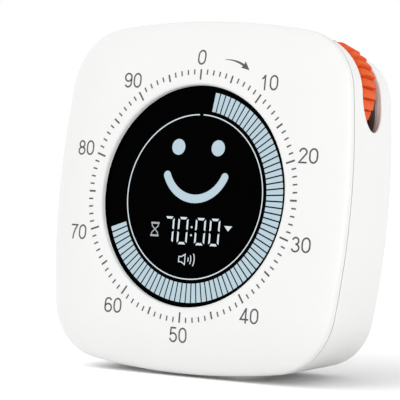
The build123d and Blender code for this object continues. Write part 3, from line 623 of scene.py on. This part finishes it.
# %% Strokes of the figures
six = [(arc(0, 0.31, 0.25, 0.256, 0, 345, 23), True),
       (arc(0, 0.70, 0.235, 0.246, 65, -90, 12) + [(-0.245, 0.5), (-0.25, 0.31)], False)]
figures = {
    "0": [(arc(0, 0.62, 0.257, 0.326, -90, 90, 14) + arc(0, 0.38, 0.257, 0.326, 90, 270, 14), True)],
    "1": [([(-0.17, 0.735), (-0.05, 0.82), (0.045, 0.95)], False),
          ([(0.06, 1), (0.06, 0.5), (0.06, 0)], False)],
    "2": [(arc(0, 0.70, 0.245, 0.246, -85, 100, 14)
           + [(-0.05, 0.3), (-0.26, 0.054), (0.01, 0.054), (0.28, 0.054)], False)],
    "3": [(arc(-0.005, 0.735, 0.215, 0.211, -75, 180, 16), False),
          (arc(-0.005, 0.289, 0.255, 0.235, 0, 258, 17), False)],
    "4": [([(0.08, 0.93), (-0.1, 0.59), (-0.28, 0.25), (0.01, 0.25), (0.30, 0.25)], False),
          ([(0.10, 1), (0.10, 0.5), (0.10, 0)], False)],
    "5": [([(0.22, 0.946), (-0.16, 0.946), (-0.215, 0.47)], False),
          (arc(0, 0.33, 0.255, 0.275, -58, 258, 20), False)],
    "6": six,
    "7": [([(-0.26, 0.946), (0, 0.946), (0.26, 0.946), (0.08, 0.66), (-0.04, 0.33), (-0.09, 0)], False)],
    "8": [(arc(0, 0.735, 0.21, 0.211, 0, 345, 23), True), (arc(0, 0.289, 0.255, 0.235, 0, 345, 23), True)],
    "9": [([(-x, 1 - y) for x, y in line], ring) for line, ring in six],
}
print(sum(len(strokes) for strokes in figures.values()), "strokes for", len(figures), "figures")

# %% Numbers
figure_height, figure_width, figure_stroke, figure_step = 3.45, 3.6, 0.38, 2.61
number_gap, number_ring, number_spread, number_shift = 10, 31.43, 0.99, (-0.17, 0.0)
number_nudge = {10: (0.09, 0.0), 30: (0.0, 0.45), 40: (0.19, 0.0), 70: (-0.1, 0.42)}

numbers = bmesh.new()
for minute in range(0, tick_count, number_gap):
    turn = 2 * pi * minute / tick_count
    reach = number_ring + number_spread * abs(sin(turn))
    words = str(minute)
    nudge_x, nudge_y = number_nudge.get(minute, (0.0, 0.0))
    for place, figure in enumerate(words):
        left = reach * sin(turn) + nudge_x + (place - (len(words) - 1) / 2) * figure_step
        low = reach * cos(turn) + nudge_y - figure_height / 2
        for line, ring in figures[figure]:
            band(numbers, [(left + x * figure_width, low + y * figure_height) for x, y in line],
                 figure_stroke, ring=ring)
print_ink("dial_numbers", drawing_from(numbers, "numbers"), number_shift)

# %% [markdown]
# ## The arrow
# A curved arrow beside the nought shows which way the wheel sets the time. Its tail swells from a hair
# line, so it is a band along a bend, with a barbed head.

# %% Arrow
arrow_tail, arrow_bend = Vector((6.14, 31.04)), Vector((9.0, 31.1))
arrow_notch, arrow_tip = Vector((11.38, 29.77)), (12.96, 28.70)
arrow_barbs = ((11.72, 30.69), (10.63, 29.28))
arrow_widths, arrow_steps, arrow_shift = (0.12, 0.56), 12, (0.15, -0.1)

arrow = bmesh.new()
tail = []
for step in range(arrow_steps + 1):
    share = step / arrow_steps
    tail.append(tuple(arrow_tail * (1 - share) ** 2 + arrow_bend * 2 * share * (1 - share)
                      + arrow_notch * share ** 2))
band(arrow, tail, *arrow_widths)
fill(arrow, [arrow_tip, arrow_barbs[0], tuple(arrow_notch), arrow_barbs[1]])
print_ink("dial_arrow", drawing_from(arrow, "arrow"), arrow_shift)

# %% [markdown]
# ## The ring of minutes
# A ring of lit blocks counts the minutes that are left, from the second to the seventieth. Each block is a
# slice of the ring between two dark lines of even width. A geometry tree bends one flat tile into such a
# slice and sets a copy of it for every lit minute.

# %% The block tree
block_corners = 4
block_tree, given = new_tree("Minute blocks", {
    "Count": "Int", "First angle": "Float", "Pitch": "Float", "Inner radius": "Float",
    "Outer radius": "Float", "Line width": "Float", "Finish": "Material",
})
tile = add(block_tree, "GeometryNodeMeshGrid",
           {"Size X": 1.0, "Size Y": 1.0, "Vertices X": block_corners, "Vertices Y": 2})
spot = add(block_tree, "ShaderNodeSeparateXYZ", {0: add(block_tree, "GeometryNodeInputPosition")})
radius = add(block_tree, "ShaderNodeMapRange",
             {"Value": spot.outputs["Y"], "From Min": -0.5, "From Max": 0.5,
              "To Min": given["Inner radius"], "To Max": given["Outer radius"]})
line_angle = add(block_tree, "ShaderNodeMath", {0: given["Line width"], 1: radius}, operation="DIVIDE")
tile_angle = add(block_tree, "ShaderNodeMath", {0: given["Pitch"], 1: line_angle}, operation="SUBTRACT")
bend = add(block_tree, "ShaderNodeMath", {0: spot.outputs["X"], 1: tile_angle}, operation="MULTIPLY")
block = add(block_tree, "GeometryNodeSetPosition",
            {"Geometry": tile, "Position": on_circle(block_tree, bend, radius)})
points = add(block_tree, "GeometryNodePoints", {"Count": given["Count"]})
number = add(block_tree, "GeometryNodeInputIndex")
middle = add(block_tree, "ShaderNodeMath", {0: number, 1: 0.5}, operation="ADD")
angle = add(block_tree, "ShaderNodeMath",
            {0: middle, 1: given["Pitch"], 2: given["First angle"]}, operation="MULTIPLY_ADD")
turned = add(block_tree, "ShaderNodeMath", {0: angle, 1: -1.0}, operation="MULTIPLY")
spin = add(block_tree, "ShaderNodeCombineXYZ", {"Z": turned})
row = add(block_tree, "GeometryNodeInstanceOnPoints",
          {"Points": points, "Instance": block, "Rotation": spin})
end_tree(block_tree, row, given["Finish"])
print("block tree of", len(block_tree.nodes), "nodes")

# %% Minute blocks
film_thickness = 0.03
block_count, blocks_from, blocks_to = 68, 8.1, 251.4
block_inner, block_outer, block_line, block_shift = 19.62, 23.96, 0.32, (-0.1, -0.12)


def light_up(name, drawing, finish, shift):
    """Lays a flat drawing on the display's window as lit figures, shifted across and up in mm."""
    lay_film(name, drawing, "display_window", film_thickness, finish, shift)


light_up("display_minute_blocks", flat_drawing(block_tree, {
    "Count": block_count, "First angle": radians(blocks_from), "Finish": glow_blue,
    "Pitch": radians((blocks_to - blocks_from) / block_count),
    "Inner radius": block_inner * MM, "Outer radius": block_outer * MM, "Line width": block_line * MM,
}), glow_blue, block_shift)

# %% [markdown]
# ## The thin ring and the smile
# Inside the blocks runs a thin ring with a small break at the top, round two dots and a curve that make a
# plain smile. The curve is a band of one width with round ends.

# %% Thin ring
thin_ring, thin_width, thin_steps = 18.65, 0.25, 180
thin_from, thin_to, thin_shift = 2.2, 359.0, (-0.18, -0.11)
thin = bmesh.new()
band(thin, arc(0, 0, thin_ring, thin_ring, thin_from, thin_to, thin_steps), thin_width)
light_up("display_ring", drawing_from(thin, "ring"), glow_white, thin_shift)

# %% Smile
eye_x, eye_y, eye_radius, eye_step = 5.48, 11.07, 1.81, 8
smile_y, smile_radius, smile_half, smile_shift = 8.12, 8.7, 66.0, (-0.11, 0.0)
smile_width, smile_steps, end_steps = 1.92, 32, 12

smile = bmesh.new()
for eye_side in (-1, 1):
    disc(smile, eye_side * eye_x, eye_y, eye_radius, eye_step)
half_width = smile_width / 2
end_x, end_y = smile_radius * sin(radians(smile_half)), smile_y - smile_radius * cos(radians(smile_half))
outer, inner = smile_radius + half_width, smile_radius - half_width
outline = arc(0, smile_y, outer, outer, 180 - smile_half, 180 + smile_half, smile_steps)
outline += arc(-end_x, end_y, half_width, half_width, 180 + smile_half, 360 + smile_half, end_steps)[1:-1]
outline += arc(0, smile_y, inner, inner, 180 + smile_half, 180 - smile_half, smile_steps)
outline += arc(end_x, end_y, half_width, half_width, -smile_half, 180 - smile_half, end_steps)[1:-1]
fill(smile, outline)
light_up("display_smile", drawing_from(smile, "smile"), glow_blue, smile_shift)

# %% [markdown]
# ## The time
# The time is shown by seven-bar figures. A level bar is cut at a slant at both ends, and an upright one is
# cut to match it at its outer end and to match the unlit middle bar at its inner end, so a thin dark gap is
# left between bars. Each kind of bar is one outline for the upper right of a figure, and is turned over to
# the left or below. A figure is the list of its lit bars.

# %% Time figures
time_y, time_shift = -7.9, (-0.03, 0.0)
half_wide, half_high = 1.4, 3.09
level_width, level_outer, level_inner = 0.52, 0.99, 0.62
upright_width, corner_outer, corner_inner = 0.43, 0.38, 0.7
middle_outer, middle_inner = 0.19, 0.445
time_places = ((-6.32, "7"), (-2.44, "0"), (2.42, "0"), (6.33, "0"))
colon_y, colon_radius, colon_step = 0.91, 0.24, 20

level_bar = ((-level_outer, half_high), (level_outer, half_high),
             (level_inner, half_high - level_width), (-level_inner, half_high - level_width))
upright_bar = ((half_wide, half_high - corner_outer), (half_wide, middle_outer),
               (half_wide - upright_width, middle_inner),
               (half_wide - upright_width, half_high - corner_inner))
lit_bars = {"7": ((level_bar, 1, 1), (upright_bar, 1, 1), (upright_bar, 1, -1))}
lit_bars["0"] = lit_bars["7"] + ((level_bar, 1, -1), (upright_bar, -1, 1), (upright_bar, -1, -1))

time_figures = bmesh.new()
for middle, figure in time_places:
    for bar_outline, flip_x, flip_y in lit_bars[figure]:
        fill(time_figures, [(middle + flip_x * x, time_y + flip_y * y) for x, y in bar_outline])
for dot_side in (-1, 1):
    disc(time_figures, 0, time_y + dot_side * colon_y, colon_radius, colon_step)
light_up("display_time", drawing_from(time_figures, "time"), glow_white, time_shift)

# %% [markdown]
# ## Small signs
# A sand glass before the time, a triangle that points down for counting down, and a loudspeaker below it.
# The glass is two level caps and two bent lines that cross, each the other's mirror image.

# %% Sand glass
glass_x, glass_y, half_x, half_y = -10.22, -7.9, 1.15, 1.425
cap_line, glass_line = 0.42, 0.24
glass_bends = ((-0.8, 1), (-0.7, 0.5), (0.7, -0.5), (0.8, -1))

sand_glass = bmesh.new()
for cap_side in (-1, 1):
    cap_y = glass_y + cap_side * half_y
    band(sand_glass, [(glass_x - half_x, cap_y), (glass_x + half_x, cap_y)], cap_line)
for flip in (1, -1):
    band(sand_glass, [(glass_x + flip * half_x * x, glass_y + half_y * y) for x, y in glass_bends],
         glass_line)
light_up("display_sand_glass", drawing_from(sand_glass, "sand_glass"), glow_dim, time_shift)

# %% Triangle and loudspeaker
triangle = ((8.88, -6.3), (11.04, -6.3), (10.02, -7.5))
sign_line, speaker_y = 0.22, -14.34
speaker_outline = ((-2.82, 0.6), (-2.1, 0.6), (-1.12, 1.16), (-1.12, -1.16), (-2.1, -0.6), (-2.82, -0.6))
wave_x, wave_steps, waves = -1.6, 8, ((1.4, 19), (2.14, 27), (3.08, 27))

signs = bmesh.new()
fill(signs, triangle)
band(signs, [(x, speaker_y + y) for x, y in speaker_outline], sign_line, ring=True)
for wave, swing in waves:
    band(signs, arc(wave_x, speaker_y, wave, wave, 90 - swing, 90 + swing, wave_steps), sign_line)
light_up("display_signs", drawing_from(signs, "signs"), glow_white, time_shift)

# %% [markdown]
# ## The ribbed wheel
# A thumb turns the wheel by its ribs, so each rib is shaped like a ratchet tooth: it climbs slowly and drops
# steeply into a narrow groove, and its back end is rounded off. The solid has plain teeth. A finer wheel
# takes its place for the eye: the script draws one tooth as a sector of the wheel, with cup, web, hub and
# bore, and a geometry tree sets twenty-eight copies round the axle, welds them, and creases the sharp edges.

# %% One tooth
tooth_count, tooth_depth, tooth_phase = 28, 0.75, 7.25
tip_radius, rim_taper = 11.4, tan(radians(8))
rim_front, front_round, front_drop = 3.9, 2.2, 1.3
rim_back, back_round, round_steps = -2.6, 1.1, 6
cup_radius, web_front, web_back = 8.25, 1.0, -0.6
hub_radius, hub_back, bore_radius = 3.0, -3.6, 1.52
groove, groove_drop = 0.11, 0.9
climb, climb_power = 0.9, 1.8
shares = [0, groove, 0.125, 0.16, 0.25, 0.4, 0.55, 0.7, 0.8, climb, 0.925, 0.95, 0.975, 1]


def tooth_height(share):
    """The rib's height at a share of one pitch: below 0 in the groove, then from 0 up to 1 on the ridge."""
    if share <= groove:
        return -groove_drop
    if share <= climb:
        return 1 - (1 - (share - groove) / (climb - groove)) ** climb_power
    return 1 - (1 + groove_drop) * (1 - cos(pi * (share - climb) / (1 - climb))) / 2


def tooth_section(share):
    """The wheel's section as radii and heights along the axle, from the front rim round and back."""
    low = (1 - tooth_height(share)) * tooth_depth
    swings = [radians(90 * step / round_steps) for step in range(round_steps + 1)]
    rim = []
    for swing in swings:
        height = rim_front - front_round * (1 - cos(swing))
        rim.append((tip_radius + height * rim_taper - front_drop * (1 - sin(swing)) - low, height))
    for swing in swings:
        height = rim_back + back_round * (1 - sin(swing))
        drop = back_round * (1 - cos(swing)) + low * (1 - sin(swing))
        rim.append((tip_radius + height * rim_taper - drop, height))
    return rim + [(cup_radius, rim_back), (cup_radius, web_back), (hub_radius, web_back),
                  (hub_radius, hub_back), (bore_radius, hub_back), (bore_radius, web_front),
                  (cup_radius, web_front), (cup_radius, rim_front)]


tooth = bmesh.new()
columns = []
for share in shares:
    turn = radians(tooth_phase + share * 360 / tooth_count)
    columns.append([tooth.verts.new((radius * sin(turn) * MM, radius * cos(turn) * MM, height * MM))
                    for radius, height in tooth_section(share)])
for here, after in zip(columns, columns[1:]):
    for corner in range(len(here)):
        beyond = (corner + 1) % len(here)
        tooth.faces.new([here[corner], after[corner], after[beyond], here[beyond]])
print("one tooth of", len(tooth.faces), "faces")

# %% The wheel tree
wheel_weld = 0.005
wheel_tree, given = new_tree("Toothed wheel", {
    "Tooth": "Geometry", "Count": "Int", "Middle": "Vector", "Tilt": "Vector", "Crease angle": "Float",
    "Finish": "Material",
})
points = add(wheel_tree, "GeometryNodePoints", {"Count": given["Count"]})
number = add(wheel_tree, "GeometryNodeInputIndex")
step = add(wheel_tree, "ShaderNodeMath", {0: 2 * pi, 1: given["Count"]}, operation="DIVIDE")
angle = add(wheel_tree, "ShaderNodeMath", {0: number, 1: step}, operation="MULTIPLY")
spin = add(wheel_tree, "ShaderNodeCombineXYZ", {"Z": angle})
row = add(wheel_tree, "GeometryNodeInstanceOnPoints",
          {"Points": points, "Instance": given["Tooth"], "Rotation": spin})
teeth = add(wheel_tree, "GeometryNodeRealizeInstances", {"Geometry": row})
welded = add(wheel_tree, "GeometryNodeMergeByDistance", {"Geometry": teeth, "Distance": wheel_weld * MM})
placed = add(wheel_tree, "GeometryNodeTransform",
             {"Geometry": welded, "Translation": given["Middle"], "Rotation": given["Tilt"]})
smooth = add(wheel_tree, "GeometryNodeSetShadeSmooth", {"Geometry": placed, "Shade Smooth": True})
bend = add(wheel_tree, "GeometryNodeInputMeshEdgeAngle")
sharp = add(wheel_tree, "ShaderNodeMath",
            {0: bend.outputs["Unsigned Angle"], 1: given["Crease angle"]}, operation="GREATER_THAN")
creased = add(wheel_tree, "GeometryNodeSetShadeSmooth",
              {"Geometry": smooth, "Selection": sharp, "Shade Smooth": False},
              domain="EDGE")
end_tree(wheel_tree, creased, given["Finish"])
print("wheel tree of", len(wheel_tree.nodes), "nodes")

# %% Wheel
crease_angle = radians(38)
ribbed_wheel = grow("ribbed_wheel", wheel_tree, {
    "Count": tooth_count, "Middle": Vector(axle["pos_m"]), "Tilt": face_turn.to_euler(),
    "Crease angle": crease_angle, "Finish": wheel_abs,
}, drawing_from(tooth, "tooth"))
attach(ribbed_wheel, "thumbwheel")
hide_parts("thumbwheel")
print("wheel", len(ribbed_wheel.data.polygons), "faces")

# %% [markdown]
# ## Floor
# The timer stands on a plain white sheet. To the camera the sheet is white with the timer's soft shadow on
# it. For all other light it is a shade darker, so that the underside falls into shade as it does on paper.

# %% Floor
floor_reach = 3.0
sheet_shape = bmesh.new()
bmesh.ops.create_grid(sheet_shape, x_segments=1, y_segments=1, size=floor_reach)
floor = bpy.data.objects.new("floor", drawing_from(sheet_shape, "floor"))
scene.collection.objects.link(floor)


def looked_at(tree):
    """Is 1 where the camera looks, directly, in a reflection or through something clear, and else 0."""
    ray = add(tree, "ShaderNodeLightPath").outputs
    looked = ray["Is Camera Ray"]
    for kind in ("Is Glossy Ray", "Is Transmission Ray"):
        looked = add(tree, "ShaderNodeMath", {0: looked, 1: ray[kind]}, operation="MAXIMUM")
    return looked


# White without any gloss, so that only the shadow is seen on it.
paper = bpy.data.materials.new("White paper sheet")
paper.use_nodes = True
tree = paper.node_tree
tree.nodes.clear()
seen = add(tree, "ShaderNodeBsdfDiffuse", {"Color": colour("#F9F9F9")})
unseen = add(tree, "ShaderNodeBsdfDiffuse", {"Color": colour("#CBCBCB")})
sheet = add(tree, "ShaderNodeMixShader", {0: looked_at(tree), 1: unseen, 2: seen})
add(tree, "ShaderNodeOutputMaterial", {"Surface": sheet})
floor.data.materials.append(paper)
print("floor", 2 * floor_reach, "m across")

# %% [markdown]
# ## Light
# The picture is a bright studio shot: white walls all round give light from every side, more from the left
# and the front than from the right, and more from the walls than from the ceiling. The world gives that: its
# light changes steadily along one direction. Where the camera or a reflection looks at it, it is plain white.
# Two broad lamps stand low, one before the face and one by the side, and lift both to the same white. A third
# light, wide and soft, comes from the left and is kept to the floor: it whitens the paper and draws the
# shadow without bleaching the case.

# %% World
room_light, room_slope = 0.9, (-0.42, -0.07, -0.15)
world = bpy.data.worlds.new("Studio")
world.use_nodes = True
scene.world = world
tree = world.node_tree
tree.nodes.clear()
towards = add(tree, "ShaderNodeTexCoord").outputs["Generated"]
slope = add(tree, "ShaderNodeVectorMath", {0: towards, 1: room_slope}, operation="DOT_PRODUCT")
strength = add(tree, "ShaderNodeMath", {0: slope.outputs["Value"], 1: room_light}, operation="ADD")
backdrop = add(tree, "ShaderNodeBackground", {"Color": colour("#FFFFFF"), "Strength": 1.0})
room = add(tree, "ShaderNodeBackground", {"Color": colour("#FFFFFF"), "Strength": strength})
mixed = add(tree, "ShaderNodeMixShader", {0: looked_at(tree), 1: room, 2: backdrop})
add(tree, "ShaderNodeOutputWorld", {"Surface": mixed})
print("room light", room_light, "in the middle")

# %% Lamps
lamp_width, sun_spread = 1.0, radians(70)
lamps = {"face_lamp": ("AREA", (-0.75, -1.3, 0.45), 2.5), "side_lamp": ("AREA", (1.5, -0.35, 0.22), 12.0),
         "floor_lamp": ("SUN", (-0.814, -0.581, 1.15), 1.5)}
paper_only = bpy.data.collections.new("paper_only")
paper_only.objects.link(floor)
for name, (kind, spot, power) in lamps.items():
    light = bpy.data.lights.new(name, kind)
    light.energy = power
    lamp = bpy.data.objects.new(name, light)
    aim = (face_middle - Vector(spot)).to_track_quat("-Z", "Y").to_matrix().to_4x4()
    lamp.matrix_world = Matrix.Translation(spot) @ aim
    scene.collection.objects.link(lamp)
    if kind == "SUN":
        light.angle = sun_spread
        lamp.light_linking.receiver_collection = paper_only
    else:
        light.shape = "DISK"
        light.size = lamp_width
scene.view_settings.view_transform = "Standard"
print("lamps", ", ".join(lamps))

# %% [markdown]
# ## Camera
# The camera stands far to the right and a little above the timer and looks through a long lens, so the face
# is seen from 36 degrees to the side with hardly any perspective.

# %% Camera
view_side, view_height, view_roll = radians(35.553), radians(3.498), radians(-0.399)
view_distance = 574.26
view_target = Vector((1.835, -7.652, 39.769)) * MM
lens_length, sensor_width = 229.70, 36.0

forward = Vector((-sin(view_side) * cos(view_height), cos(view_side) * cos(view_height), -sin(view_height)))
level = Vector((cos(view_side), sin(view_side), 0))
upright = level.cross(forward)
camera_up = upright * cos(view_roll) + level * sin(view_roll)
camera_right = level * cos(view_roll) - upright * sin(view_roll)
camera_turn = Matrix((camera_right, camera_up, -forward)).transposed().to_4x4()
camera = bpy.data.objects.new("camera", bpy.data.cameras.new("camera"))
camera.data.sensor_width = sensor_width
camera.data.lens = lens_length
camera.matrix_world = Matrix.Translation(view_target - forward * view_distance * MM) @ camera_turn
scene.collection.objects.link(camera)
scene.camera = camera
print("camera", round(view_distance), "mm away")
